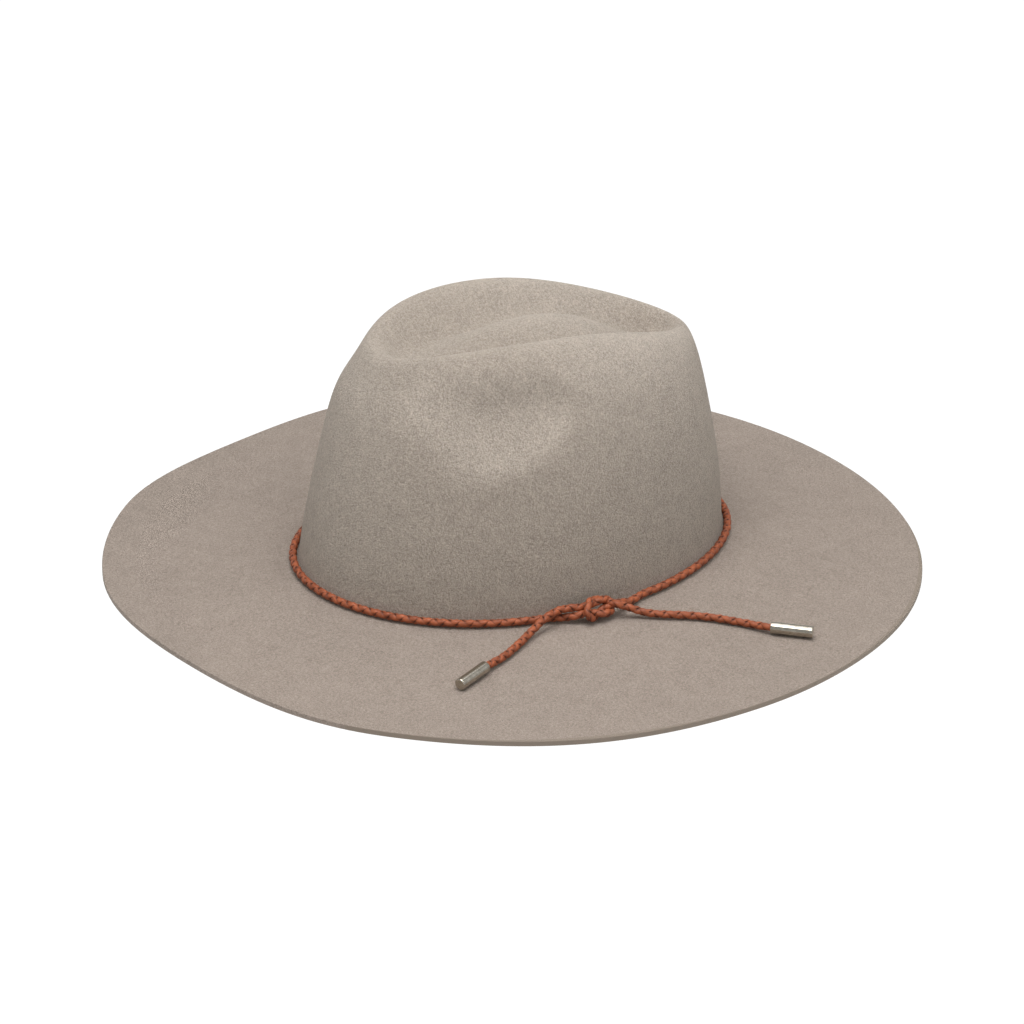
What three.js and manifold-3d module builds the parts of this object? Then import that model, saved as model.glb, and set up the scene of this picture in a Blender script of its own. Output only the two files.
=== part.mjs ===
// A wide-brimmed felt hat with a creased and pinched crown, and a thin braided leather cord
// round the crown, tied at the wearer's left in a reef knot with two metal-tipped ends.
// Millimetres. +Z is up, -Y is the front of the hat and +X the wearer's left. Z = 0 is the
// surface that the brim lies on, and the origin is on it under the middle of the brim.
import * as THREE from "three";
import { mergeVertices } from "three/addons/utils/BufferGeometryUtils.js";
import Module from "manifold-3d";

const wasm = await Module();
wasm.setup();

// Felt: one blocked wall of even thickness, with a circular brim round an oval crown.
const FELT = 2.5;
const BRIM_RADIUS = 194;
const FLAT = FELT / 2; // height of the wall's middle where the brim lies flat
const AROUND = 64; // facets round the hat

// Cord: braided leather, and the room that separate pieces keep.
const CORD = 3.7;
const GAP = 0.3;
const CORD_SIDES = 8;
const CORD_STEP = 8; // length of one facet of the cord where it runs freely
const KNOT_STEP = 1.6; // length of one facet of the cord in the knot's tight bends

// Tips: plain metal tubes closed at the outer end, pressed over the ends of the cord.
const TIP = { diameter: 5.5, length: 19.5, bore: 4.3, boreDepth: 7, rim: 0.4, sides: 16 };
const CORD_IN_TIP = 5.7;

// The felt's middle surface is a smooth surface through closed rings, from the brim's edge
// over the crown to the top of the mound in the crease. Each ring has the Y of its front and
// back, its half width, and its height at the front, the sides and the back. It may also have
// "fore", the share by which it is wider towards the front, "swing", how much higher it is
// between front and side than between side and back, and "cut", how far it follows the brim's
// uneven edge.
const ring = (name, front, back, half, zFront, zSide, zBack, more) => ({
  name, front, back, half, zFront, zSide, zBack, fore: 0, swing: 0, cut: 0, ...more,
});
const RINGS = [
  ring("brim edge", -BRIM_RADIUS, BRIM_RADIUS, BRIM_RADIUS, FLAT, FLAT, FLAT, { cut: 1 }),
  ring("brim flat", -180, 180, 177.5, FLAT, FLAT, FLAT, { cut: 1 }),
  ring("brim outer", -165, 165, 160, FLAT, FLAT, FLAT, { cut: 0.8 }),
  ring("brim middle", -150, 150, 140, 2.2, 2.0, 2.2, { cut: 0.4 }),
  ring("brim inner", -134, 134, 117, 3.5, 2.8, 3.5),
  ring("brim root", -114.5, 116, 93, 4.9, 3.6, 4.9, { fore: 0.03, swing: -1 }),
  ring("root corner", -103, 105.2, 81.1, 5, 3.7, 5, { fore: 0.03, swing: -1 }),
  ring("cord line", -102.5, 105, 80.7, 14, 13, 14, { fore: 0.03, swing: -1 }),
  ring("low wall", -98.6, 103.6, 78.9, 35, 36, 36, { fore: 0.02 }),
  ring("middle wall", -93.5, 100.3, 75.2, 57.5, 58, 55.5),
  ring("high wall", -88.7, 96.8, 70.6, 79, 80, 74.5),
  ring("shoulder", -82.4, 93.9, 63.1, 97, 100.5, 92.5, { fore: 0.05, swing: 0.9 }),
  ring("shoulder top", -74.3, 89.8, 51.3, 107.9, 119.1, 104.8, { fore: 0.08, swing: 4.4 }),
  ring("crest", -69, 86.2, 39.3, 119.3, 125.7, 102.7, { fore: 0.1, swing: 6.7 }),
  ring("inner wall", -57.5, 79, 27.6, 107.5, 114.2, 92.6, { fore: 0.08, swing: 2.9 }),
  ring("groove", -42.2, 63.9, 19.3, 107.8, 107.5, 95.5, { fore: 0.04, swing: -0.9 }),
  ring("mound side", -21.7, 41.5, 10.4, 115.5, 114.5, 113.5),
  ring("mound top", 9.5, 9.5, 0, 120.2, 120.2, 120.2),
];
const TOP = RINGS.length - 1;
const BRIM_ROOT = RINGS.findIndex((r) => r.name === "brim root");

// The raw brim is cut a little out of round: at an angle from the front, and over as much to
// either side, its edge lies this much inside the circle.
const UNEVEN_CUT = [
  { at: 12, reach: 32, inside: 7 },
  { at: 72, reach: 25, inside: -1.8 },
  { at: 138, reach: 30, inside: -1.8 },
  { at: 187, reach: 35, inside: 2 },
  { at: 289, reach: 28, inside: 7 },
];

// Facets from ring to ring: one on the brim, two on the crown.
const BRIM_STEP = 1;
const CROWN_STEP = 0.5;

// Pinch: the same dent on both sides, behind the front of the crown. Its lip is an arc in the
// side view, lowest where the long axis is "lipAlong" from the origin, and it climbs to the
// back by "tilt". Above the lip the slope is steepest after "slope" and then levels out.
const PINCH = {
  tilt: 29, lipAlong: 28, lipAcross: 76.5, bendBack: 0.0115, bendFront: 0.0042,
  depth: 9.5, slope: 5.2,
  front: -30, frontEase: 52, back: 58, backEase: 22,
  ceiling: 92, ceilingEase: 34, middle: 10, middleEase: 26,
};

const ease = THREE.MathUtils.smootherstep;
const rad = THREE.MathUtils.degToRad;

// How far inside the circle the brim's edge lies at an angle.
function cutInside(angle) {
  const half = Math.PI;
  let inside = 0;
  for (const cut of UNEVEN_CUT) {
    const turned = THREE.MathUtils.euclideanModulo(angle - rad(cut.at) + half, 2 * half) - half;
    const away = Math.abs(turned) / rad(cut.reach);
    if (away < 1) inside += cut.inside * Math.cos((away * half) / 2) ** 2;
  }
  return inside;
}

function ringPoint(r, angle) {
  const [c, s] = [Math.cos(angle), Math.sin(angle)];
  const end = c > 0 ? r.zFront : r.zBack;
  const size = 1 - (r.cut * cutInside(angle)) / BRIM_RADIUS;
  return new THREE.Vector3(
    r.half * s * (1 + r.fore * c) * size,
    ((r.front + r.back) / 2 - ((r.back - r.front) / 2) * c) * size,
    r.zSide + (end - r.zSide) * c * c + r.swing * s * s * c,
  );
}

// Uniform cubic B-spline over the rings. It starts on the first ring and crosses the top
// ring, which is a point, to the opposite side.
function openPoint(angle, across) {
  const first = Math.min(Math.floor(across), TOP - 1);
  const f = across - first;
  const weights = [(1 - f) ** 3, 3 * f ** 3 - 6 * f ** 2 + 4, -3 * f ** 3 + 3 * f ** 2 + 3 * f + 1, f ** 3];
  const sum = new THREE.Vector3();
  weights.forEach((weight, k) => sum.addScaledVector(control(angle, first + k - 1), weight / 6));
  return sum;
}

function control(angle, index) {
  if (index > TOP) return ringPoint(RINGS[TOP - 1], angle + Math.PI);
  if (index >= 0) return ringPoint(RINGS[index], angle);
  return ringPoint(RINGS[0], angle).multiplyScalar(2).sub(ringPoint(RINGS[1], angle));
}

function pinchDepth({ x, y, z }) {
  const p = PINCH;
  const along = y * Math.cos(rad(p.tilt)) + z * Math.sin(rad(p.tilt));
  const across = z * Math.cos(rad(p.tilt)) - y * Math.sin(rad(p.tilt));
  const past = along - p.lipAlong;
  const bend = past > 0 ? p.bendBack : p.bendFront;
  const slopes = Math.max(across - (p.lipAcross + bend * past * past), 0) / p.slope;
  const rise = 1 - (1 + slopes) * Math.exp(-slopes);
  const ends = ease(along, p.front, p.front + p.frontEase) * (1 - ease(along, p.back - p.backEase, p.back));
  const below = 1 - ease(z, p.ceiling, p.ceiling + p.ceilingEase);
  return p.depth * rise * ends * below * ease(Math.abs(x), p.middle, p.middle + p.middleEase);
}

// A point of the felt's middle surface: angle 0 is the front and a quarter turn the wearer's
// left, and across counts the rings from the brim's edge.
function feltPoint(angle, across) {
  const p = openPoint(angle, across);
  p.x -= Math.sign(p.x) * pinchDepth(p);
  return p;
}

function feltNormal(angle, across) {
  if (across >= TOP) return new THREE.Vector3(0, 0, 1);
  const small = 1e-3;
  const round = feltPoint(angle + small, across).sub(feltPoint(angle - small, across));
  const inward = feltPoint(angle, across + small).sub(feltPoint(angle, Math.max(across - small, 0)));
  return inward.cross(round).normalize().negate();
}

function acrossStops() {
  const stops = [0];
  while (stops.at(-1) < TOP) {
    const last = stops.at(-1);
    stops.push(last + (last < BRIM_ROOT ? BRIM_STEP : CROWN_STEP));
  }
  return stops;
}

// The wall's whole section, from the top of the crown out to the brim's edge and back under
// it to the inside of the crown, turned round the hat.
function feltBody() {
  const stops = acrossStops();
  const section = [
    ...stops.toReversed().map((across) => [across, FELT / 2]),
    ...stops.map((across) => [across, -FELT / 2]),
  ];
  const skin = new THREE.PlaneGeometry(1, 1, AROUND, section.length - 1);
  const position = skin.getAttribute("position");
  for (let i = 0; i < position.count; i++) {
    const [across, off] = section[Math.floor(i / (AROUND + 1))];
    const angle = ((i % (AROUND + 1)) % AROUND) * ((2 * Math.PI) / AROUND);
    const p = feltPoint(angle, across).addScaledVector(feltNormal(angle, across), off);
    position.setXYZ(i, p.x, p.y, p.z);
  }
  return closed(skin);
}

// Merges a geometry's shared vertices and drops the faces that have collapsed at a pole.
function closed(geometry) {
  geometry.deleteAttribute("normal");
  geometry.deleteAttribute("uv");
  const merged = mergeVertices(geometry, 1e-3);
  const kept = [];
  for (let i = 0; i < merged.index.count; i += 3) {
    const [a, b, c] = [0, 1, 2].map((k) => merged.index.getX(i + k));
    if (a !== b && b !== c && c !== a) kept.push(a, b, c);
  }
  return merged.setIndex(kept);
}

// Route of the cord, end to end: front tail, knot, round the crown, knot, back tail.
// The two tails lie on the brim from where they leave the knot.
const TAIL_FRONT = [
  [114.5, -77.4, 6.9], [113.3, -74.8, 7.1], [112.0, -72.3, 7.2], [110.5, -69.3, 7.0],
  [109.0, -66.2, 6.8], [107.6, -63.0, 6.7], [106.0, -59.8, 6.7], [104.3, -56.7, 6.8],
  [102.4, -53.6, 7.0], [100.4, -50.6, 7.1], [98.3, -47.5, 7.2], [96.1, -44.3, 7.4],
  [94.0, -41.1, 7.8], [92.3, -37.9, 8.5], [90.7, -34.6, 9.5], [89.2, -31.2, 10.6],
  [88.1, -27.7, 11.5], [87.1, -24.0, 12.1], [86.6, -20.2, 12.4],
];
const TAIL_BACK = [
  [94.3, 9.0, 11.0], [95.6, 11.6, 9.9], [97.0, 14.2, 8.8], [98.7, 16.7, 8.0],
  [100.3, 19.2, 7.6], [102.1, 22.0, 7.3], [104.4, 26.3, 7.1], [106.8, 30.7, 6.9],
  [109.5, 35.3, 6.7], [112.6, 39.8, 6.5], [115.9, 43.9, 6.3], [119.4, 47.6, 6.1],
  [122.8, 51.0, 5.9], [126.2, 54.1, 5.8], [129.7, 56.9, 5.8], [133.2, 59.4, 6.0],
  [136.6, 61.9, 6.2], [138.5, 64.1, 6.2], [140.3, 66.2, 6.1],
];

// Knot: its middle, the angle that it leans back, and each half of it as a bight in the
// knot's own plane: along the band, up the slope and out of it, from the band to the tail.
const KNOT = { x: 90.8, y: -1.9, z: 11.2, lean: 50 };
const FRONT_BIGHT = [
  [-7.2, -0.6, -1.2], [-4.7, -1.6, -0.3], [-2.0, -2.9, 0.6], [0.8, -3.5, 0.5],
  [3.5, -3.1, -0.5], [5.6, -1.8, -1.5], [6.3, 0.3, -1.8], [5.8, 2.2, -0.9],
  [4.0, 3.2, 0.6], [1.4, 3.1, 1.3], [-1.4, 2.7, 0.7], [-3.8, 2.6, -0.6], [-5.6, 2.8, -1.4],
];
const BACK_BIGHT = [
  [8.8, 0.7, -0.8], [5.4, 0.2, -0.3], [2.0, -0.3, -1.2], [-1.1, -1.6, -1.9],
  [-3.9, -3.2, -1.7], [-6.2, -4.1, -0.3], [-7.5, -3.1, 1.4], [-7.7, -0.9, 2.3],
  [-6.7, 1.4, 2.4], [-4.7, 3.2, 1.8], [-1.9, 4.3, 0.4], [1.1, 4.3, -0.8],
  [3.7, 3.1, -0.7], [5.4, 1.3, 0.5], [7.0, -0.4, 1.7],
];

// Where the cord passes between the knot's bights and the corner of the crown.
const FRONT_BAND_LEG = [[89.6, -12.4, 9.2], [88.0, -15.4, 8.4], [86.0, -18.8, 7.9]];
const FRONT_TAIL_LEG = [[87.8, -11.0, 12.1], [86.8, -15.6, 12.3]];
const BACK_BAND_LEG = [[88.8, 10.0, 10.2], [87.2, 13.2, 9.0], [85.9, 16.8, 8.1]];
const BACK_TAIL_LEG = [[93.5, 6.9, 11.6]];
const BAND = { across: 6, from: 103, to: 436, step: 6 };

const knotPoint = ([along, up, out]) => {
  const lean = rad(KNOT.lean);
  return new THREE.Vector3(
    KNOT.x - up * Math.sin(lean) + out * Math.cos(lean),
    KNOT.y + along,
    KNOT.z + up * Math.cos(lean) + out * Math.sin(lean),
  );
};

function bandPoints() {
  const points = [];
  const off = FELT / 2 + GAP + CORD / 2;
  const count = Math.round((BAND.to - BAND.from) / BAND.step);
  for (let i = 0; i <= count; i++) {
    const angle = rad(THREE.MathUtils.lerp(BAND.from, BAND.to, i / count));
    points.push(feltPoint(angle, BAND.across).addScaledVector(feltNormal(angle, BAND.across), off));
  }
  return points;
}

const vectors = (rows) => rows.map((row) => new THREE.Vector3(...row));
const cordPoints = [
  ...vectors(TAIL_FRONT),
  ...vectors(FRONT_TAIL_LEG).toReversed(),
  ...FRONT_BIGHT.toReversed().map(knotPoint),
  ...vectors(FRONT_BAND_LEG),
  ...bandPoints().toReversed(),
  ...vectors(BACK_BAND_LEG).toReversed(),
  ...BACK_BIGHT.map(knotPoint),
  ...vectors(BACK_TAIL_LEG),
  ...vectors(TAIL_BACK),
];
const cordRoute = new THREE.CatmullRomCurve3(cordPoints);
cordRoute.arcLengthDivisions = 6000;
const cordLength = cordRoute.getLength();

// Distance along the cord of the route's point nearest to the given one.
function along(point) {
  const lengths = cordRoute.getLengths();
  const index = cordPoints.findIndex((p) => p.distanceTo(point) < 1e-6);
  return lengths[Math.round((index / (cordPoints.length - 1)) * cordRoute.arcLengthDivisions)];
}

// The part of the cord's route between two distances along it.
class Stretch extends THREE.Curve {
  constructor(from, to) {
    super();
    this.from = from;
    this.to = to;
  }

  getPoint(t, target) {
    return cordRoute.getPointAt(THREE.MathUtils.lerp(this.from, this.to, t) / cordLength, target);
  }
}

function cordTube(from, to, step) {
  const section = new THREE.Shape();
  for (let i = 0; i < CORD_SIDES; i++) {
    const angle = ((i + 0.5) * 2 * Math.PI) / CORD_SIDES;
    section[i ? "lineTo" : "moveTo"]((CORD / 2) * Math.cos(angle), (CORD / 2) * Math.sin(angle));
  }
  const steps = Math.ceil((to - from) / step);
  const extrudePath = new Stretch(from, to);
  return closed(new THREE.ExtrudeGeometry(section, { steps, bevelEnabled: false, extrudePath }));
}

// Distances along the cord at which one piece ends and the next begins.
const frontCut = along(vectors(TAIL_FRONT).at(-1));
const frontBandCut = along(vectors(FRONT_BAND_LEG).at(-1));
const backBandCut = along(vectors(BACK_BAND_LEG).at(-1));
const backCut = along(vectors(TAIL_BACK)[0]);

function solidOf(geometry) {
  const vertProperties = geometry.getAttribute("position").array;
  const triVerts = new Uint32Array(geometry.index.array);
  return new wasm.Manifold(new wasm.Mesh({ numProp: 3, vertProperties, triVerts }));
}

function geometryOf(solid) {
  const mesh = solid.getMesh();
  const geometry = new THREE.BufferGeometry();
  geometry.setAttribute("position", new THREE.BufferAttribute(mesh.vertProperties, 3));
  return geometry.setIndex(new THREE.BufferAttribute(mesh.triVerts, 1));
}

// Both halves of the knot, drawn tight. The two legs of each half press on each other too,
// so a half is joined from two tubes that meet in the middle of its bend.
function knotBody() {
  const halves = [[frontCut + GAP, frontBandCut - GAP], [backBandCut + GAP, backCut - GAP]];
  const tubes = halves.flatMap(([from, to]) => {
    const bend = (from + to) / 2;
    return [cordTube(from, bend + GAP, KNOT_STEP), cordTube(bend - GAP, to, KNOT_STEP)];
  });
  return geometryOf(tubes.map(solidOf).reduce((joined, tube) => joined.add(tube)));
}

// A tip about its own axis, +Z outwards, with its mouth at Z = 0.
function tipBody() {
  const outer = TIP.diameter / 2;
  const bore = TIP.bore / 2;
  const profile = [
    [0, TIP.boreDepth],
    [bore, TIP.boreDepth],
    [bore, 0],
    [outer - TIP.rim / 2, 0],
    [outer, TIP.rim / 2],
    [outer, TIP.length - TIP.rim],
    [outer - TIP.rim, TIP.length],
    [0, TIP.length],
  ];
  const points = profile.map(([r, z]) => new THREE.Vector2(r, z));
  return closed(new THREE.LatheGeometry(points, TIP.sides).rotateX(Math.PI / 2));
}

const felt = new THREE.MeshStandardMaterial({ color: 0xa09589, roughness: 0.95, metalness: 0 });
const leather = new THREE.MeshStandardMaterial({ color: 0xa8562f, roughness: 0.6, metalness: 0 });
const metal = new THREE.MeshStandardMaterial({ color: 0xc9c7c2, roughness: 0.25, metalness: 1 });

function named(name, geometry, material) {
  const mesh = new THREE.Mesh(geometry, material);
  mesh.name = name;
  return mesh;
}

// Sets a tip over one end of the cord, in line with it, mouth towards the cord.
function tipOn(name, end, inwards) {
  const mesh = named(name, tipBody(), metal);
  const mouth = cordRoute.getPointAt((end + inwards * CORD_IN_TIP) / cordLength);
  const tip = cordRoute.getPointAt(end / cordLength);
  const outwards = tip.clone().sub(mouth).normalize();
  mesh.quaternion.setFromUnitVectors(new THREE.Vector3(0, 0, 1), outwards);
  mesh.position.copy(mouth);
  return mesh;
}

const cord = new THREE.Group();
cord.add(
  named("band_cord", cordTube(frontBandCut + GAP, backBandCut - GAP, CORD_STEP), leather),
  named("knot", knotBody(), leather),
  named("tail_front", cordTube(0, frontCut - GAP, CORD_STEP / 2), leather),
  named("tail_back", cordTube(backCut + GAP, cordLength, CORD_STEP / 2), leather),
  tipOn("tip_front", 0, 1),
  tipOn("tip_back", cordLength, -1),
);

const hat = new THREE.Group();
hat.add(named("felt_body", feltBody(), felt), cord);

export default hat;
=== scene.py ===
import math

import bmesh
import bpy
from mathutils import Matrix, Vector


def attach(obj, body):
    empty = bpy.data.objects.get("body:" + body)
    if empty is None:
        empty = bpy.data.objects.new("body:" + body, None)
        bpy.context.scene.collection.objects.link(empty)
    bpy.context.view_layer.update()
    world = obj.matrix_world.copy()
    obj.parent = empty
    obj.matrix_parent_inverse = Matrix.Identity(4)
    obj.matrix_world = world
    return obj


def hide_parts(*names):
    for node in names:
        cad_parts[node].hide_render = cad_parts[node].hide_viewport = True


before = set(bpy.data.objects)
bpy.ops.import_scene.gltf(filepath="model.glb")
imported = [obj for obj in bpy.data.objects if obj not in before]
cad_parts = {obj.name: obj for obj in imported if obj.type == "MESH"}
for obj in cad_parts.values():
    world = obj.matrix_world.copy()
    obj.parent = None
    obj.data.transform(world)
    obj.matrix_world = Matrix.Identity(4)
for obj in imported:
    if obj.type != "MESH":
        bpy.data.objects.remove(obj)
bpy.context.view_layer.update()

MM = 0.001
BODY = "root"
# Points of a mesh that are closer than this are one point, in millimetres.
WELD = 1e-4

# Camera: where it stands round the hat and how high, in degrees, how far in metres, its lens
# in millimetres, and how far the frame is moved, as a share of its width.
CAMERA_AZIMUTH = 62.0
CAMERA_ELEVATION = 25.5
CAMERA_DISTANCE = 2.0
CAMERA_LENS = 147.48
CAMERA_SHIFT = (0.0013, 0.0404)


def turn(azimuth, elevation):
    """Direction from the hat to a place round it, azimuth 0 being straight in front."""
    a = math.radians(azimuth)
    e = math.radians(elevation)
    return Vector((math.sin(a) * math.cos(e), -math.cos(a) * math.cos(e), math.sin(e)))


def make_camera():
    camera = bpy.data.objects.new("camera", bpy.data.cameras.new("camera"))
    bpy.context.scene.collection.objects.link(camera)
    camera.data.lens = CAMERA_LENS
    camera.data.shift_x, camera.data.shift_y = CAMERA_SHIFT
    out = turn(CAMERA_AZIMUTH, CAMERA_ELEVATION)
    camera.location = out * CAMERA_DISTANCE
    camera.rotation_euler = out.to_track_quat("Z", "Y").to_euler()
    bpy.context.scene.camera = camera


make_camera()

# Felt: one blocked wall of even thickness, with a circular brim round an oval crown.
FELT = 2.5
BRIM_RADIUS = 194.0
FLAT = FELT / 2


def felt_ring(name, front, back, half, z, fore=0, swing=0, cut=0):
    return dict(
        name=name, front=front, back=back, half=half, z=z, fore=fore, swing=swing, cut=cut,
    )


# Rings of the felt's middle surface, from the brim's edge to the top of the mound in the
# crease: the Y of the front and back, the half width, and the height at the front, sides and
# back. "fore" is the share by which a ring is wider towards the front, "swing" how much
# higher it is between front and side than between side and back, and "cut" how far it
# follows the brim's uneven edge. Millimetres.
RINGS = [
    felt_ring("brim edge", -BRIM_RADIUS, BRIM_RADIUS, BRIM_RADIUS, (FLAT, FLAT, FLAT), cut=1),
    felt_ring("brim flat", -180, 180, 177.5, (FLAT, FLAT, FLAT), cut=1),
    felt_ring("brim outer", -165, 165, 160, (FLAT, FLAT, FLAT), cut=0.8),
    felt_ring("brim middle", -150, 150, 140, (2.2, 2.0, 2.2), cut=0.4),
    felt_ring("brim inner", -134, 134, 117, (3.5, 2.8, 3.5)),
    felt_ring("brim root", -114.5, 116, 93, (4.9, 3.6, 4.9), fore=0.03, swing=-1),
    felt_ring("root corner", -103, 105.2, 81.1, (5, 3.7, 5), fore=0.03, swing=-1),
    felt_ring("cord line", -102.5, 105, 80.7, (14, 13, 14), fore=0.03, swing=-1),
    felt_ring("low wall", -98.6, 103.6, 78.9, (35, 36, 36), fore=0.02),
    felt_ring("middle wall", -93.5, 100.3, 75.2, (57.5, 58, 55.5)),
    felt_ring("high wall", -88.7, 96.8, 70.6, (79, 80, 74.5)),
    felt_ring("shoulder", -82.4, 93.9, 63.1, (97, 100.5, 92.5), fore=0.05, swing=0.9),
    felt_ring("shoulder top", -74.3, 89.8, 51.3, (107.9, 119.1, 104.8), fore=0.08, swing=4.4),
    felt_ring("crest", -69, 86.2, 39.3, (119.3, 125.7, 102.7), fore=0.1, swing=6.7),
    felt_ring("inner wall", -57.5, 79, 27.6, (107.5, 114.2, 92.6), fore=0.08, swing=2.9),
    felt_ring("groove", -42.2, 63.9, 19.3, (107.8, 107.5, 95.5), fore=0.04, swing=-0.9),
    felt_ring("mound side", -21.7, 41.5, 10.4, (115.5, 114.5, 113.5)),
    felt_ring("mound top", 9.5, 9.5, 0, (120.2, 120.2, 120.2)),
]
TOP = len(RINGS) - 1

# The raw brim is cut a little out of round: at an angle from the front, and over as much to
# either side, its edge lies this much inside the circle.
UNEVEN_CUT = [
    dict(at=12, reach=32, inside=7),
    dict(at=72, reach=25, inside=-1.8),
    dict(at=138, reach=30, inside=-1.8),
    dict(at=187, reach=35, inside=2),
    dict(at=289, reach=28, inside=7),
]

# Pinch: the same dent on both sides, behind the front of the crown. Its lip is an arc in the
# side view, lowest where the long axis is "lip_along" from the origin, and it climbs to the
# back by "tilt". Above the lip the slope is steepest after "slope" and then levels out.
PINCH = dict(
    tilt=29, lip_along=28, lip_across=76.5, bend_back=0.0115, bend_front=0.0042,
    depth=9.5, slope=5.2,
    front=-30, front_ease=52, back=58, back_ease=22,
    ceiling=92, ceiling_ease=34, middle=10, middle_ease=26,
)


def ease(value, low, high):
    """A smooth step, 0 up to low and 1 from high."""
    t = min(max((value - low) / (high - low), 0), 1)
    return t * t * t * (t * (t * 6 - 15) + 10)


def cut_inside(angle):
    """How far inside the circle the brim's edge lies at an angle."""
    inside = 0
    for cut in UNEVEN_CUT:
        away = abs((math.degrees(angle) - cut["at"] + 180) % 360 - 180) / cut["reach"]
        if away < 1:
            inside += cut["inside"] * math.cos(away * math.pi / 2) ** 2
    return inside


def ring_point(ring, angle):
    """A point of one of the felt's rings, at an angle from the front."""
    c, s = math.cos(angle), math.sin(angle)
    z_front, z_side, z_back = ring["z"]
    end = z_front if c > 0 else z_back
    middle = (ring["front"] + ring["back"]) / 2
    reach = (ring["back"] - ring["front"]) / 2
    size = 1 - ring["cut"] * cut_inside(angle) / BRIM_RADIUS
    return Vector((
        ring["half"] * s * (1 + ring["fore"] * c) * size,
        (middle - reach * c) * size,
        z_side + (end - z_side) * c * c + ring["swing"] * s * s * c,
    ))


def control_point(angle, index):
    """A ring's point, with one more past the brim's edge and one past the mound's top."""
    if index > TOP:
        return ring_point(RINGS[TOP - 1], angle + math.pi)
    if index >= 0:
        return ring_point(RINGS[index], angle)
    return ring_point(RINGS[0], angle) * 2 - ring_point(RINGS[1], angle)


def pinch_depth(p):
    """How far a pinch pushes a point of the felt's middle surface inwards."""
    k = PINCH
    tilt = math.radians(k["tilt"])
    along = p.y * math.cos(tilt) + p.z * math.sin(tilt)
    across = p.z * math.cos(tilt) - p.y * math.sin(tilt)
    past = along - k["lip_along"]
    bend = k["bend_back"] if past > 0 else k["bend_front"]
    slopes = max(across - (k["lip_across"] + bend * past * past), 0) / k["slope"]
    rise = 1 - (1 + slopes) * math.exp(-slopes)
    ends = ease(along, k["front"], k["front"] + k["front_ease"])
    ends *= 1 - ease(along, k["back"] - k["back_ease"], k["back"])
    below = 1 - ease(p.z, k["ceiling"], k["ceiling"] + k["ceiling_ease"])
    side = ease(abs(p.x), k["middle"], k["middle"] + k["middle_ease"])
    return k["depth"] * rise * ends * below * side


def felt_point(angle, across):
    """A point of the felt's middle surface in millimetres: a quarter turn is the left side."""
    first = min(int(across), TOP - 1)
    f = across - first
    weights = (
        (1 - f) ** 3,
        3 * f ** 3 - 6 * f ** 2 + 4,
        -3 * f ** 3 + 3 * f ** 2 + 3 * f + 1,
        f ** 3,
    )
    p = Vector((0, 0, 0))
    for k, weight in enumerate(weights):
        p += control_point(angle, first + k - 1) * (weight / 6)
    p.x -= math.copysign(pinch_depth(p), p.x)
    return p


def felt_normal(angle, across):
    small = 1e-3
    round_hat = felt_point(angle + small, across) - felt_point(angle - small, across)
    inward = felt_point(angle, across + small) - felt_point(angle, across - small)
    return -inward.cross(round_hat).normalized()


# Cord: braided leather. Its route runs end to end: front tail, knot, round the crown, knot,
# back tail. The two tails lie on the brim. Millimetres.
CORD = 3.7
GAP = 0.3
TAIL_FRONT = [
    (114.5, -77.4, 6.9), (113.3, -74.8, 7.1), (112.0, -72.3, 7.2), (110.5, -69.3, 7.0),
    (109.0, -66.2, 6.8), (107.6, -63.0, 6.7), (106.0, -59.8, 6.7), (104.3, -56.7, 6.8),
    (102.4, -53.6, 7.0), (100.4, -50.6, 7.1), (98.3, -47.5, 7.2), (96.1, -44.3, 7.4),
    (94.0, -41.1, 7.8), (92.3, -37.9, 8.5), (90.7, -34.6, 9.5), (89.2, -31.2, 10.6),
    (88.1, -27.7, 11.5), (87.1, -24.0, 12.1), (86.6, -20.2, 12.4),
]
TAIL_BACK = [
    (94.3, 9.0, 11.0), (95.6, 11.6, 9.9), (97.0, 14.2, 8.8), (98.7, 16.7, 8.0),
    (100.3, 19.2, 7.6), (102.1, 22.0, 7.3), (104.4, 26.3, 7.1), (106.8, 30.7, 6.9),
    (109.5, 35.3, 6.7), (112.6, 39.8, 6.5), (115.9, 43.9, 6.3), (119.4, 47.6, 6.1),
    (122.8, 51.0, 5.9), (126.2, 54.1, 5.8), (129.7, 56.9, 5.8), (133.2, 59.4, 6.0),
    (136.6, 61.9, 6.2), (138.5, 64.1, 6.2), (140.3, 66.2, 6.1),
]

# Knot: its middle, the angle that it leans back, and each half of it as a bight in the
# knot's own plane: along the band, up the slope and out of it, from the band to the tail.
KNOT_MIDDLE = Vector((90.8, -1.9, 11.2))
KNOT_LEAN = math.radians(50)
FRONT_BIGHT = [
    (-7.2, -0.6, -1.2), (-4.7, -1.6, -0.3), (-2.0, -2.9, 0.6), (0.8, -3.5, 0.5),
    (3.5, -3.1, -0.5), (5.6, -1.8, -1.5), (6.3, 0.3, -1.8), (5.8, 2.2, -0.9),
    (4.0, 3.2, 0.6), (1.4, 3.1, 1.3), (-1.4, 2.7, 0.7), (-3.8, 2.6, -0.6),
    (-5.6, 2.8, -1.4),
]
BACK_BIGHT = [
    (8.8, 0.7, -0.8), (5.4, 0.2, -0.3), (2.0, -0.3, -1.2), (-1.1, -1.6, -1.9),
    (-3.9, -3.2, -1.7), (-6.2, -4.1, -0.3), (-7.5, -3.1, 1.4), (-7.7, -0.9, 2.3),
    (-6.7, 1.4, 2.4), (-4.7, 3.2, 1.8), (-1.9, 4.3, 0.4), (1.1, 4.3, -0.8),
    (3.7, 3.1, -0.7), (5.4, 1.3, 0.5), (7.0, -0.4, 1.7),
]
FRONT_BAND_LEG = [
    (89.6, -12.4, 9.2), (88.0, -15.4, 8.4), (86.0, -18.8, 7.9),
]
FRONT_TAIL_LEG = [
    (87.8, -11.0, 12.1), (86.8, -15.6, 12.3),
]
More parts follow.
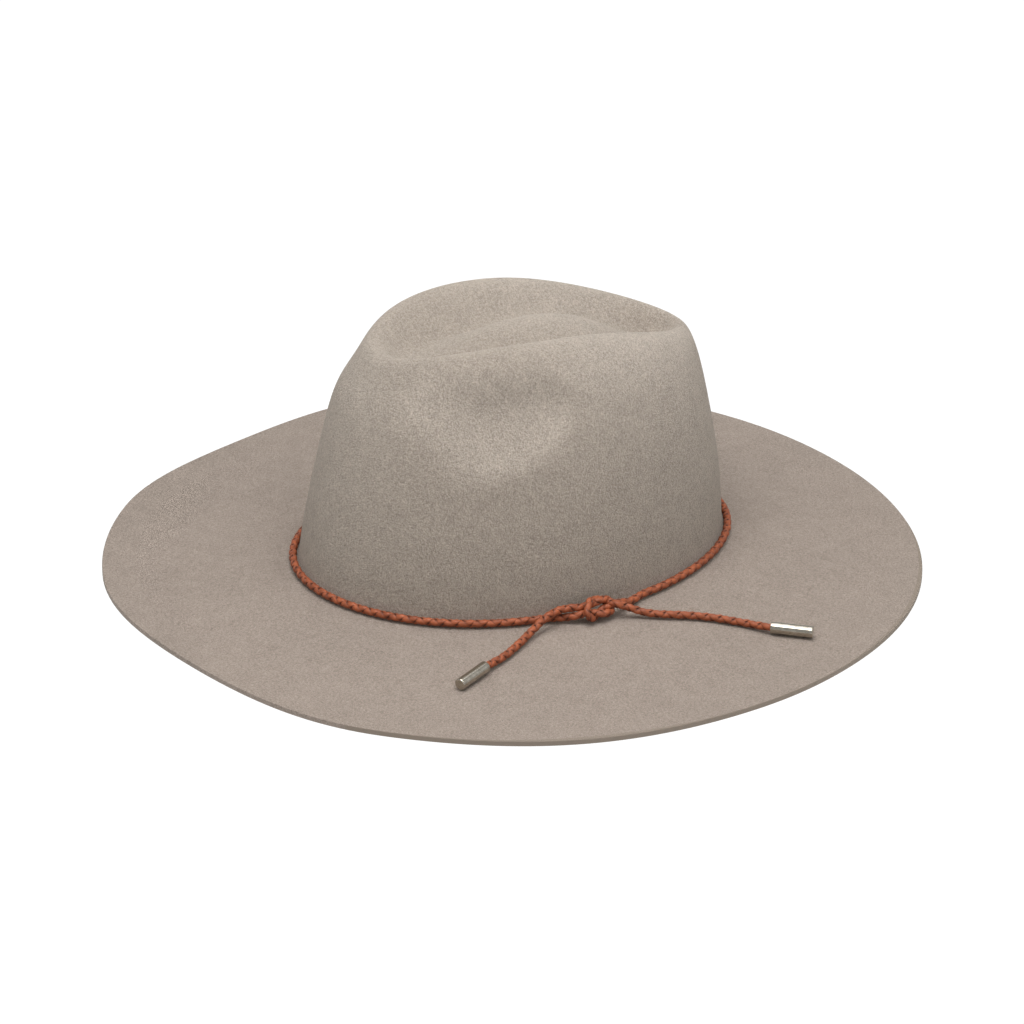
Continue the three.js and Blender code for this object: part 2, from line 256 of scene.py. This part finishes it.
BACK_BAND_LEG = [
    (88.8, 10.0, 10.2), (87.2, 13.2, 9.0), (85.9, 16.8, 8.1),
]
BACK_TAIL_LEG = [
    (93.5, 6.9, 11.6),
]

# Round the crown the route stays at one ring of the felt, with a point every few degrees.
BAND_ACROSS = 6
BAND_FROM, BAND_TO, BAND_STEP = 103, 436, 6


def knot_point(local):
    along, up, out = local
    sine, cosine = math.sin(KNOT_LEAN), math.cos(KNOT_LEAN)
    return KNOT_MIDDLE + Vector((out * cosine - up * sine, along, up * cosine + out * sine))


def band_points():
    off = FELT / 2 + GAP + CORD / 2
    count = round((BAND_TO - BAND_FROM) / BAND_STEP)
    points = []
    for i in range(count + 1):
        angle = math.radians(BAND_FROM + (BAND_TO - BAND_FROM) * i / count)
        points.append(felt_point(angle, BAND_ACROSS) + felt_normal(angle, BAND_ACROSS) * off)
    return points


def vectors(rows):
    return [Vector(row) for row in rows]


def centripetal(points, steps):
    """The centripetal curve through the points, as a fine polyline of steps to a span."""
    line = []
    ends = [points[0] * 2 - points[1]] + points + [points[-1] * 2 - points[-2]]
    for i in range(len(points) - 1):
        a, b, c, d = ends[i:i + 4]
        ab = (a - b).length ** 0.5
        bc = (b - c).length ** 0.5
        cd = (c - d).length ** 0.5
        t1 = ((b - a) / ab - (c - a) / (ab + bc) + (c - b) / bc) * bc
        t2 = ((c - b) / bc - (d - b) / (bc + cd) + (d - c) / cd) * bc
        for k in range(steps):
            t = k / steps
            cube = 2 * b - 2 * c + t1 + t2
            square = 3 * c - 3 * b - 2 * t1 - t2
            line.append(b + t1 * t + square * t ** 2 + cube * t ** 3)
    return line + [points[-1].copy()]


# Steps of the route's curve between two of its points, and millimetres between two frames.
SPAN_STEPS = 40
FRAME_STEP = 0.25


class Route:
    """The cord's centreline, with a frame at each step that doesn't twist round it."""

    def __init__(self, points):
        line = centripetal(points, SPAN_STEPS)
        reached = [0.0]
        for a, b in zip(line, line[1:]):
            reached.append(reached[-1] + (b - a).length)
        self.length = reached[-1]
        self.at_point = [reached[i * SPAN_STEPS] for i in range(len(points))]
        self.count = round(self.length / FRAME_STEP)
        self.step = self.length / self.count
        self.centres = []
        k = 0
        for i in range(self.count + 1):
            s = min(i * self.step, self.length)
            while k < len(line) - 2 and reached[k + 1] < s:
                k += 1
            share = (s - reached[k]) / (reached[k + 1] - reached[k])
            self.centres.append(line[k].lerp(line[k + 1], min(share, 1)))
        self.normals = []
        self.sides = []
        normal = Vector((0, 0, 1))
        for i in range(self.count + 1):
            ahead = self.centres[min(i + 1, self.count)] - self.centres[max(i - 1, 0)]
            ahead.normalize()
            normal = (normal - ahead * normal.dot(ahead)).normalized()
            self.normals.append(normal)
            self.sides.append(ahead.cross(normal))

    def place(self, s, angle, radius):
        """The point at a distance along the cord, and round it at a radius."""
        t = min(max(s / self.step, 0), self.count)
        i = min(int(t), self.count - 1)
        f = t - i
        centre = self.centres[i].lerp(self.centres[i + 1], f)
        normal = self.normals[i].lerp(self.normals[i + 1], f)
        side = self.sides[i].lerp(self.sides[i + 1], f)
        return centre + (normal * math.cos(angle) + side * math.sin(angle)) * radius


ROUTE_POINTS = (
    vectors(TAIL_FRONT)
    + vectors(FRONT_TAIL_LEG)[::-1]
    + [knot_point(p) for p in FRONT_BIGHT[::-1]]
    + vectors(FRONT_BAND_LEG)
    + band_points()[::-1]
    + vectors(BACK_BAND_LEG)[::-1]
    + [knot_point(p) for p in BACK_BIGHT]
    + vectors(BACK_TAIL_LEG)
    + vectors(TAIL_BACK)
)
route = Route(ROUTE_POINTS)


def route_distance(point):
    return route.at_point[ROUTE_POINTS.index(Vector(point))]


# Where the cord is cut into its pieces, as distances along it.
FRONT_CUT = route_distance(TAIL_FRONT[-1])
FRONT_BAND_CUT = route_distance(FRONT_BAND_LEG[-1])
BACK_BAND_CUT = route_distance(BACK_BAND_LEG[-1])
BACK_CUT = route_distance(TAIL_BACK[0])


def finished(name, bm, material, node):
    """Makes an object of a finished bmesh, in metres, in place of a node."""
    mesh = bpy.data.meshes.new(name)
    bm.to_mesh(mesh)
    bm.free()
    mesh.transform(Matrix.Scale(MM, 4))
    for polygon in mesh.polygons:
        polygon.use_smooth = True
    mesh.materials.append(material)
    piece = bpy.data.objects.new(name, mesh)
    bpy.context.scene.collection.objects.link(piece)
    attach(piece, BODY)
    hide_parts(node)
    return piece


def wrapped_grid(bm, columns, rows, place):
    """A grid bent round on itself: place gives the point of a column and a row. The last
    column lies on the first."""
    made = bmesh.ops.create_grid(bm, x_segments=columns, y_segments=rows, size=0.5)
    for v in made["verts"]:
        column = round((v.co.x + 0.5) * columns) % columns
        row = round((v.co.y + 0.5) * rows)
        v.co = place(column, row)
    return made["verts"]


# Braid: four flat strands round a core painted dark as shade, two each way, each over one and
# under one. A strand goes once round in one pitch. Millimetres.
PITCH = 12.8
STRANDS = 4
STRAND_WIDTH = 2.9
STRAND_THICKNESS = 1.15
STRAND_RADIUS = 1.12
STRAND_RISE = 0.3
STRAND_SIDES = 10
STRAND_STEP = 0.55
CORE_RADIUS = 0.95
CORE_SIDES = 8
CORE_STEP = 2 * STRAND_STEP


def add_strand(bm, start, end, index, shade):
    """One strand, an oval tube, and the painted shade of its two long edges."""
    way = 1 if index % 2 else -1
    first = math.pi * (index // 2)
    rows = math.ceil((end - start) / STRAND_STEP)
    turn_rate = 2 * math.pi / PITCH
    slant = math.hypot(1, STRAND_RADIUS * turn_rate)
    outline = [2 * math.pi * k / STRAND_SIDES for k in range(STRAND_SIDES)]

    def place(column, row):
        s = start + (end - start) * row / rows
        over = way * math.cos(2 * turn_rate * s)
        wide = STRAND_WIDTH / 2 * math.cos(outline[column])
        thick = STRAND_THICKNESS / 2 * math.sin(outline[column])
        angle = first + way * turn_rate * s + wide / slant / STRAND_RADIUS
        along = s - way * wide * STRAND_RADIUS * turn_rate / slant
        return route.place(along, angle, STRAND_RADIUS + STRAND_RISE * over + thick)

    verts = wrapped_grid(bm, STRAND_SIDES, rows, place)
    for k, v in enumerate(verts):
        v[shade] = math.cos(outline[k % (STRAND_SIDES + 1) % STRAND_SIDES]) ** 2
    return verts


def add_core(bm, start, end, shade):
    rows = math.ceil((end - start) / CORE_STEP)

    def place(column, row):
        angle = 2 * math.pi * column / CORE_SIDES
        return route.place(start + (end - start) * row / rows, angle, CORE_RADIUS)

    verts = wrapped_grid(bm, CORE_SIDES, rows, place)
    # The core is painted wholly in the painted shade of the grooves.
    for v in verts:
        v[shade] = 1.0
    return verts


def close_tube(bm, verts):
    """Joins a tube's seam, and closes its ends."""
    bmesh.ops.remove_doubles(bm, verts=verts, dist=WELD)
    edges = [e for e in bm.edges if e.is_boundary]
    bmesh.ops.holes_fill(bm, edges=edges, sides=0)


def braid(name, node, stretches):
    """A braided piece of the cord, of one or more stretches of its route."""
    bm = bmesh.new()
    # Painted shade: how much each point is darkened, along the strands' long edges and on the
    # core.
    shade = bm.verts.layers.float.new("groove")
    for start, end in stretches:
        for index in range(STRANDS):
            close_tube(bm, add_strand(bm, start, end, index, shade))
        close_tube(bm, add_core(bm, start, end, shade))
    bmesh.ops.recalc_face_normals(bm, faces=bm.faces)
    return finished(name, bm, leather, node)


# Materials. "place" is a point of the part in metres.


def shader(name, values):
    """A new material, its node tree and its shader node, with values on its own sockets."""
    material = bpy.data.materials.new(name)
    material.use_nodes = True
    tree = material.node_tree
    surface = tree.nodes["Principled BSDF"]
    for key, value in values.items():
        surface.inputs[key].default_value = value
    return material, tree, surface


def put(tree, kind, inputs=None, **settings):
    """A node of a kind, each input linked to a socket or set to a value."""
    node = tree.nodes.new(kind)
    for key, value in settings.items():
        setattr(node, key, value)
    for key, value in (inputs or {}).items():
        if isinstance(value, bpy.types.NodeSocket):
            tree.links.new(value, node.inputs[key])
        else:
            node.inputs[key].default_value = value
    return node


def find_place(tree):
    return put(tree, "ShaderNodeTexCoord").outputs["Object"]


def attribute(tree, name):
    return put(tree, "ShaderNodeAttribute", attribute_name=name).outputs["Fac"]


def speckle(tree, place, scale, detail=3.0, roughness=0.55):
    """Noise of a scale per metre, from 0 to 1."""
    node = put(tree, "ShaderNodeTexNoise", {
        "Vector": place, "Scale": scale, "Detail": detail, "Roughness": roughness,
    })
    return node.outputs["Fac"]


def spread(tree, value, low, high, to_low=0.0, to_high=1.0):
    """A value brought from one range to another, and held there."""
    node = put(tree, "ShaderNodeMapRange", {
        "Value": value, "From Min": low, "From Max": high, "To Min": to_low, "To Max": to_high,
    })
    return node.outputs["Result"]


def blend(tree, share, first, second, mode="MIX"):
    """The second colour over the first by a share: inputs 0, 6 and 7 of the node."""
    node = put(
        tree, "ShaderNodeMix", data_type="RGBA", blend_type=mode,
        inputs={0: share, 6: first, 7: second},
    )
    return node.outputs[2]


def combine(tree, way, first, second):
    return put(tree, "ShaderNodeMath", {0: first, 1: second}, operation=way).outputs[0]


def colour(red, green, blue):
    """A colour given as it looks on a screen, from 0 to 255, as the shader's linear one."""
    return [((c / 255 + 0.055) / 1.055) ** 2.4 for c in (red, green, blue)] + [1.0]


FELT_LIGHT = colour(198, 183, 170)
FELT_DARK = colour(124, 113, 103)
FELT_EDGE = colour(138, 126, 114)
FELT_SHEEN = colour(235, 228, 218)

# Noise in the felt's tone: how many to a metre, how fine and how rough, the low and high
# values that are taken as dark and light, and its share over the ones before it.
FELT_NOISE = [
    dict(name="nap", scale=780.0, detail=3.0, roughness=0.6, low=0.35, high=0.65, share=1.0),
    dict(name="fibre", scale=1700.0, detail=3.0, roughness=0.7, low=0.38, high=0.62, share=0.6),
    dict(name="mottle", scale=130.0, detail=3.0, roughness=0.6, low=0.3, high=0.7, share=0.14),
    dict(name="soft", scale=14.0, detail=2.0, roughness=0.55, low=0.3, high=0.7, share=0.08),
]

# The tone is tinted between the heights of the brim's top and the crown's foot, the brim darker
# than the crown as painted shade. The felt is made paler as painted light in the pinches, and on
# the crown's top behind its front.
BRIM_PAINTED_SHADE = (0.765, 0.755, 0.76, 1.0)
CROWN_TINT = (1.0, 1.03, 1.03, 1.0)
PLAIN_TINT = (1.0, 1.0, 1.0, 1.0)
PAINTED_LIGHT_TINT = (1.14, 1.15, 1.16, 1.0)
BRIM_TO_CROWN = dict(low=0.008, high=0.014)
CROWN_TOP = dict(low=0.095, high=0.113)
MOUND_FRONT = dict(low=-0.03, high=0.03)
PINCH_TO_PAINTED_LIGHT = dict(low=0.02, high=0.3, to_high=0.9)
RAW_EDGE = dict(low=0.1936, high=0.1938)

# The fuzz is a bump, weaker on the brim, which is pressed flat.
FUZZ_HEIGHT = 0.002
FUZZ_FIBRE_SHARE = 0.6
FUZZ_STRENGTH = dict(low=0.0, high=1.0, to_low=0.6, to_high=1.0)


def felt_noise(tree, place):
    """The felt's tone from dark to light, and each noise in it by name."""
    noises = {}
    tone = None
    for row in FELT_NOISE:
        made = speckle(tree, place, row["scale"], row["detail"], row["roughness"])
        own_tone = spread(tree, made, row["low"], row["high"])
        tone = own_tone if tone is None else blend(tree, row["share"], tone, own_tone)
        noises[row["name"]] = made
    return tone, noises


def distance_from_axis(tree, place):
    flat = put(tree, "ShaderNodeVectorMath", {0: place, 1: (1, 1, 0)}, operation="MULTIPLY")
    length = put(tree, "ShaderNodeVectorMath", {0: flat.outputs[0]}, operation="LENGTH")
    return length.outputs["Value"]


def make_felt():
    material, tree, surface = shader("greige felt", {
        "Roughness": 0.95, "Specular IOR Level": 0.15, "Sheen Weight": 0.3,
        "Sheen Roughness": 0.45, "Sheen Tint": FELT_SHEEN,
    })
    place = find_place(tree)
    mixed, noises = felt_noise(tree, place)
    tone = blend(tree, mixed, FELT_DARK, FELT_LIGHT)
    split = put(tree, "ShaderNodeSeparateXYZ", {0: place})
    height = split.outputs["Z"]
    crown = spread(tree, height, **BRIM_TO_CROWN)
    # Painted shade: the brim's tone is multiplied darker than the crown's.
    tone = blend(tree, 1.0, tone, blend(tree, crown, BRIM_PAINTED_SHADE, CROWN_TINT), "MULTIPLY")
    # Painted light: the tone is made paler in the pinches and on the crown's top behind its front.
    behind_front = spread(tree, split.outputs["Y"], **MOUND_FRONT)
    top = combine(tree, "MULTIPLY", spread(tree, height, **CROWN_TOP), behind_front)
    pinched = spread(tree, attribute(tree, "pinched"), **PINCH_TO_PAINTED_LIGHT)
    painted_light_mask = combine(tree, "MAXIMUM", top, pinched)
    painted_light_colour = blend(tree, painted_light_mask, PLAIN_TINT, PAINTED_LIGHT_TINT)
    tone = blend(tree, 1.0, tone, painted_light_colour, "MULTIPLY")
    edge = spread(tree, distance_from_axis(tree, place), **RAW_EDGE)
    tone = blend(tree, edge, tone, FELT_EDGE)
    tree.links.new(tone, surface.inputs["Base Color"])
    fuzz = put(tree, "ShaderNodeBump", {
        "Height": blend(tree, FUZZ_FIBRE_SHARE, noises["nap"], noises["fibre"]),
        "Distance": FUZZ_HEIGHT,
        "Strength": spread(tree, crown, **FUZZ_STRENGTH),
    })
    tree.links.new(fuzz.outputs[0], surface.inputs["Normal"])
    return material


LEATHER_LIGHT = colour(168, 90, 55)
LEATHER_DARK = colour(130, 67, 40)
LEATHER_PAINTED_SHADE = colour(44, 20, 12)
LEATHER_PATCHES = dict(scale=260.0)
LEATHER_GRAIN = dict(scale=2600.0, roughness=0.6)
GRAIN_RELIEF = dict(Strength=0.4, Distance=0.0001)

# How the patches and the grain darken the leather, how painted shade darkens the strands' long
# edges and the core, and its gloss by the grain.
PATCHES_TO_LIGHT = dict(low=0.35, high=0.65)
GRAIN_TO_DARK = dict(low=0.45, high=0.75, to_high=0.35)
GROOVE_TO_PAINTED_SHADE = dict(low=0.35, high=0.95, to_high=0.8)
GRAIN_TO_ROUGHNESS = dict(low=0.3, high=0.7, to_low=0.45, to_high=0.62)


def make_leather():
    material, tree, surface = shader("rust brown leather", {"Specular IOR Level": 0.4})
    place = find_place(tree)
    patches = speckle(tree, place, **LEATHER_PATCHES)
    grain = speckle(tree, place, **LEATHER_GRAIN)
    groove = attribute(tree, "groove")
    tone = blend(tree, spread(tree, patches, **PATCHES_TO_LIGHT), LEATHER_DARK, LEATHER_LIGHT)
    tone = blend(tree, spread(tree, grain, **GRAIN_TO_DARK), tone, LEATHER_DARK)
    # Painted shade: the strands' long edges and the core are darkened towards a near black brown.
    tone = blend(tree, spread(tree, groove, **GROOVE_TO_PAINTED_SHADE), tone, LEATHER_PAINTED_SHADE)
    tree.links.new(tone, surface.inputs["Base Color"])
    relief = put(tree, "ShaderNodeBump", {"Height": grain, **GRAIN_RELIEF})
    tree.links.new(relief.outputs[0], surface.inputs["Normal"])
    roughness = spread(tree, grain, **GRAIN_TO_ROUGHNESS)
    tree.links.new(roughness, surface.inputs["Roughness"])
    return material


METAL_BRIGHT = colour(188, 182, 170)
METAL_WORN = colour(160, 152, 139)
METAL_WEAR = dict(scale=420.0, detail=4.0, roughness=0.6)
WEAR_TO_TONE = dict(low=0.4, high=0.8)
WEAR_TO_ROUGHNESS = dict(low=0.35, high=0.7, to_low=0.1, to_high=0.2)


def make_metal():
    material, tree, surface = shader("polished tip metal", {"Metallic": 1.0})
    wear = speckle(tree, find_place(tree), **METAL_WEAR)
    tone = blend(tree, spread(tree, wear, **WEAR_TO_TONE), METAL_BRIGHT, METAL_WORN)
    tree.links.new(tone, surface.inputs["Base Color"])
    roughness = spread(tree, wear, **WEAR_TO_ROUGHNESS)
    tree.links.new(roughness, surface.inputs["Roughness"])
    return material


felt = make_felt()
leather = make_leather()
metal = make_metal()

# Felt hat: the middle surface as a grid, thickened to both sides, its raw edge just eased.
FELT_COLUMNS = 240
ROWS_TO_RING = 10
EDGE_BEVEL = 0.4
EDGE_SEGMENTS = 2
SHARP_ANGLE = math.radians(60)


def make_hat():
    bm = bmesh.new()
    rows = TOP * ROWS_TO_RING

    def place(column, row):
        angle = 2 * math.pi * column / FELT_COLUMNS
        return felt_point(angle, TOP * row / rows)

    # How deep each point is pinched, which the felt's material uses to paint light in the pinches.
    pinched = bm.verts.layers.float.new("pinched")
    for v in wrapped_grid(bm, FELT_COLUMNS, rows, place):
        v[pinched] = pinch_depth(v.co) / PINCH["depth"]
    bmesh.ops.remove_doubles(bm, verts=bm.verts, dist=WELD)
    bmesh.ops.recalc_face_normals(bm, faces=bm.faces)
    if sum(face.normal.z for face in bm.faces) < 0:
        bmesh.ops.reverse_faces(bm, faces=bm.faces)
    hat = finished("felt_hat", bm, felt, "felt_body")
    wall = hat.modifiers.new("wall", "SOLIDIFY")
    wall.thickness = FELT * MM
    wall.offset = 0
    edge = hat.modifiers.new("cut edge", "BEVEL")
    edge.width = EDGE_BEVEL * MM
    edge.segments = EDGE_SEGMENTS
    edge.limit_method = "ANGLE"
    edge.angle_limit = SHARP_ANGLE
    edge.harden_normals = True


make_hat()

# Cord: its band, its knot and its two tails
braid("braided_band", "band_cord", [(FRONT_BAND_CUT, BACK_BAND_CUT)])
braid("cord_knot", "knot", [(FRONT_CUT, FRONT_BAND_CUT), (BACK_BAND_CUT, BACK_CUT)])
front_tail = braid("front_tail", "tail_front", [(0, FRONT_CUT)])
back_tail = braid("back_tail", "tail_back", [(BACK_CUT, route.length)])

# Tips: plain metal tubes closed at the outer end, over the ends of the cord. Millimetres.
TIP_RADIUS = 2.75
TIP_LENGTH = 19.5
TIP_BORE = 2.15
TIP_BORE_DEPTH = 7.0
TIP_SIDES = 48
CORD_IN_TIP = 5.7

# The tip's edges: a bevel in the mouth of its bore, and a rounding outside at either end with
# one point halfway round. The last three keep the faces beside the roundings even.
BORE_BEVEL = 0.12
MOUTH_ROUND = 0.25
MOUTH_HALFWAY = 0.07
END_ROUND = 0.4
END_HALFWAY = 0.12
SIDE_FROM_MOUTH = 0.6
SIDE_FROM_END = 0.8
CAP_INSET = 0.7


def make_tip(name, node, end, inwards):
    """A tip over the cord's end at a distance along it, with inwards the way back from it."""
    mouth = route.place(end + inwards * CORD_IN_TIP, 0, 0)
    outwards = (route.place(end, 0, 0) - mouth).normalized()
    profile = [
        (0, TIP_BORE_DEPTH),
        (TIP_BORE, TIP_BORE_DEPTH),
        (TIP_BORE, BORE_BEVEL),
        (TIP_BORE + BORE_BEVEL, 0),
        (TIP_RADIUS - MOUTH_ROUND, 0),
        (TIP_RADIUS - MOUTH_HALFWAY, MOUTH_HALFWAY),
        (TIP_RADIUS, MOUTH_ROUND),
        (TIP_RADIUS, SIDE_FROM_MOUTH),
        (TIP_RADIUS, TIP_LENGTH - SIDE_FROM_END),
        (TIP_RADIUS, TIP_LENGTH - END_ROUND),
        (TIP_RADIUS - END_HALFWAY, TIP_LENGTH - END_HALFWAY),
        (TIP_RADIUS - END_ROUND, TIP_LENGTH),
        (TIP_RADIUS - CAP_INSET, TIP_LENGTH),
        (0, TIP_LENGTH),
    ]
    bm = bmesh.new()
    points = [bm.verts.new((r, 0, z)) for r, z in profile]
    edges = [bm.edges.new(pair) for pair in zip(points, points[1:])]
    bmesh.ops.spin(
        bm, geom=points + edges, cent=(0, 0, 0), axis=(0, 0, 1), angle=2 * math.pi,
        steps=TIP_SIDES, use_merge=True,
    )
    bmesh.ops.remove_doubles(bm, verts=bm.verts, dist=WELD)
    bmesh.ops.recalc_face_normals(bm, faces=bm.faces)
    turned = outwards.to_track_quat("Z", "Y").to_matrix().to_4x4()
    bmesh.ops.transform(bm, matrix=Matrix.Translation(mouth) @ turned, verts=bm.verts)
    return finished(name, bm, metal, node)


front_tip = make_tip("front_tip", "tip_front", 0, 1)
back_tip = make_tip("back_tip", "tip_back", route.length, -1)


def declare_tail(start, end):
    """Points along a tail, from where it leaves the knot to its tip, worked out and not used."""
    points = 40
    path = [route.place(start + (end - start) * i / points, 0, 0) * MM for i in range(points + 1)]
    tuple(path[0])


declare_tail(FRONT_CUT, 0)
declare_tail(BACK_CUT, route.length)

# Floor and lights. The floor lies a little under the brim, and glows so that it is white.
# Metres.
FLOOR_HALF = 6.0
FLOOR_DROP = 0.0003
FLOOR_GLOW = 1.06
STUDIO_GLOW = 0.48

# Square soft lights: degrees past the camera and up, metres away and across, and watts.
LIGHTS = [
    dict(name="key over the camera's left", past=-30, up=72, away=0.8, size=0.4, power=3.7),
    dict(name="soft light over the camera's right", past=30, up=60, away=1.2, size=0.8, power=4.6),
    dict(name="soft light behind the crown", past=150, up=75, away=0.8, size=0.5, power=1.2),
    dict(name="fill from the right", past=70, up=40, away=1.5, size=1.5, power=1.8),
]


def make_floor():
    bm = bmesh.new()
    bmesh.ops.create_grid(bm, x_segments=1, y_segments=1, size=FLOOR_HALF)
    bmesh.ops.translate(bm, vec=(0, 0, -FLOOR_DROP), verts=bm.verts)
    mesh = bpy.data.meshes.new("floor")
    bm.to_mesh(mesh)
    bm.free()
    material, _, _ = shader("lit white floor", {
        "Base Color": (0, 0, 0, 1), "Roughness": 1.0, "Specular IOR Level": 0.0,
        "Emission Color": (1, 1, 1, 1), "Emission Strength": FLOOR_GLOW,
    })
    mesh.materials.append(material)
    floor = bpy.data.objects.new("floor", mesh)
    bpy.context.scene.collection.objects.link(floor)


def make_light(name, past, up, away, size, power):
    """A square soft light that looks at the hat."""
    lamp = bpy.data.lights.new(name, "AREA")
    lamp.size = size
    lamp.energy = power
    light = bpy.data.objects.new(name, lamp)
    bpy.context.scene.collection.objects.link(light)
    out = turn(CAMERA_AZIMUTH + past, up)
    light.location = out * away
    light.rotation_euler = out.to_track_quat("Z", "Y").to_euler()


make_floor()
for row in LIGHTS:
    make_light(**row)

world = bpy.data.worlds.new("studio")
world.use_nodes = True
background = world.node_tree.nodes["Background"]
background.inputs["Color"].default_value = (1.0, 1.0, 1.0, 1)
background.inputs["Strength"].default_value = STUDIO_GLOW
bpy.context.scene.world = world
bpy.context.scene.view_settings.view_transform = "Standard"
